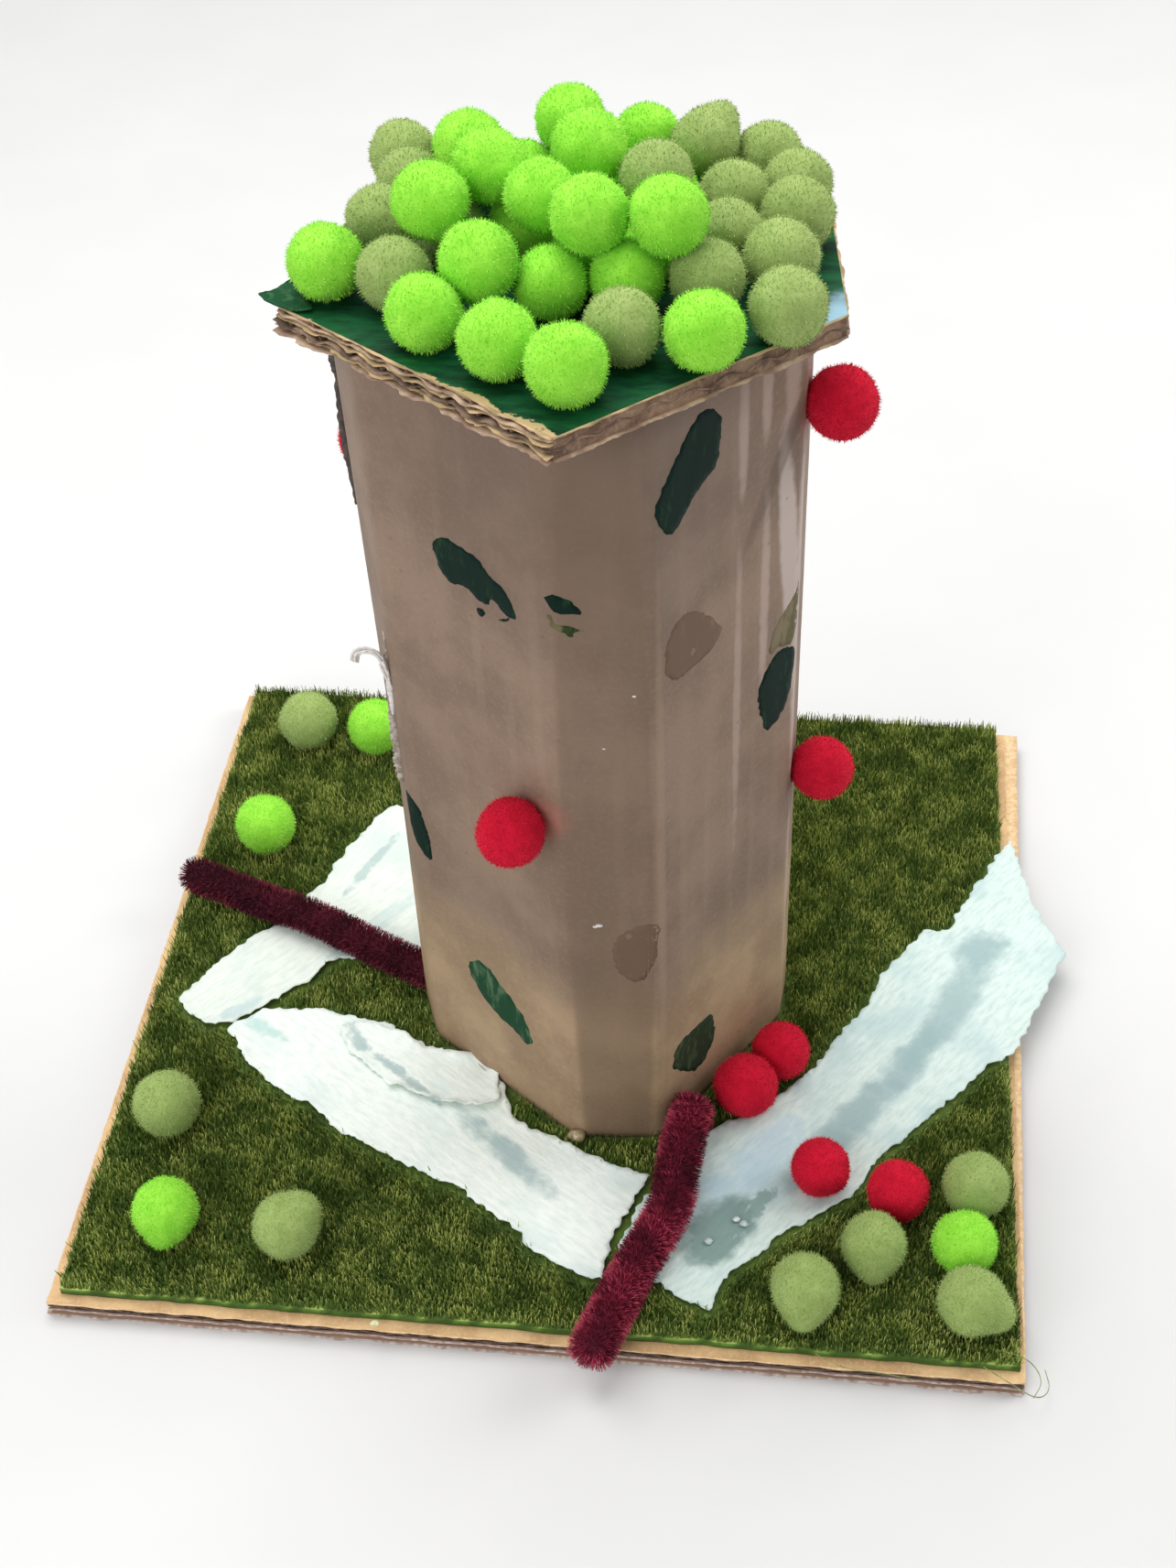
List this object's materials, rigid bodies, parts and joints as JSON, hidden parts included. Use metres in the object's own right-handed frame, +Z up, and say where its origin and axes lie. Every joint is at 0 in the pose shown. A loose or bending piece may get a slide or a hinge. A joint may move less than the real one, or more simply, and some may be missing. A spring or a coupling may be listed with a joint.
{
  "type": "cardboard tower",
  "caption": "Craft model of a tower folded from corrugated board on a turfed base, with pompoms heaped on its roof and torn paper and chenille stems round its foot.",
  "frame": {"origin": "middle of the base board's underside", "axes": "+X right along the base board's front edge, +Y towards the back, +Z up the tower"},
  "size_m": [0.217, 0.2026, 0.2262],
  "materials": {
    "kraft_board": "unbleached corrugated board, matt",
    "painted_board": "corrugated board with glossy dark green paint on top",
    "turf": "artificial turf with short pile",
    "washed_paper": "torn paper towel washed with thin blue paint",
    "chenille": "chenille pile on a twisted wire",
    "red_felt": "red pompom fibre",
    "lime_felt": "lime green pompom fibre",
    "olive_felt": "olive green pompom fibre"
  },
  "bodies": {
    "root": {"base_board": "kraft_board", "paper_front": "washed_paper", "paper_left": "washed_paper", "paper_right": "washed_paper", "red_pompom_foot_left": "red_felt", "red_pompom_foot_right": "red_felt", "red_pompom_paper": "red_felt", "red_pompom_turf": "red_felt", "red_pompom_wall_front": "red_felt", "red_pompom_wall_left": "red_felt", "red_pompom_wall_right_lower": "red_felt", "red_pompom_wall_right_upper": "red_felt", "roof_board": "painted_board", "roof_pompom_01_lime": "lime_felt", "roof_pompom_02_lime": "lime_felt", "roof_pompom_03_lime": "lime_felt", "roof_pompom_04_olive": "olive_felt", "roof_pompom_05_lime": "lime_felt", "roof_pompom_06_olive": "olive_felt", "roof_pompom_07_lime": "lime_felt", "roof_pompom_08_olive": "olive_felt", "roof_pompom_09_lime": "lime_felt", "roof_pompom_10_lime": "lime_felt", "roof_pompom_11_olive": "olive_felt", "roof_pompom_12_olive": "olive_felt", "roof_pompom_13_olive": "olive_felt", "roof_pompom_14_olive": "olive_felt", "roof_pompom_15_olive": "olive_felt", "roof_pompom_16_lime": "lime_felt", "roof_pompom_17_olive": "olive_felt", "roof_pompom_18_olive": "olive_felt", "roof_pompom_19_lime": "lime_felt", "roof_pompom_20_olive_tipped": "olive_felt", "roof_pompom_21_lime": "lime_felt", "roof_pompom_22_lime": "lime_felt", "roof_pompom_23_olive": "olive_felt", "roof_pompom_24_lime": "lime_felt", "roof_pompom_25_lime": "lime_felt", "roof_pompom_26_lime": "lime_felt", "roof_pompom_27_lime": "lime_felt", "roof_pompom_28_lime": "lime_felt", "roof_pompom_29_lime": "lime_felt", "roof_pompom_30_lime": "lime_felt", "roof_pompoms_inner": "lime_felt", "stem_front": "chenille", "stem_left": "chenille", "tower_wall": "kraft_board", "turf_mat": "turf", "turf_pompom_back_left_lime": "lime_felt", "turf_pompom_back_left_olive": "olive_felt", "turf_pompom_corner_olive": "olive_felt", "turf_pompom_front_left_lime": "lime_felt", "turf_pompom_front_left_olive": "olive_felt", "turf_pompom_front_olive": "olive_felt", "turf_pompom_front_right_lime": "lime_felt", "turf_pompom_front_right_olive": "olive_felt", "turf_pompom_left_lime": "lime_felt", "turf_pompom_left_olive": "olive_felt", "turf_pompom_right_olive": "olive_felt"}
  },
  "joints": []
}
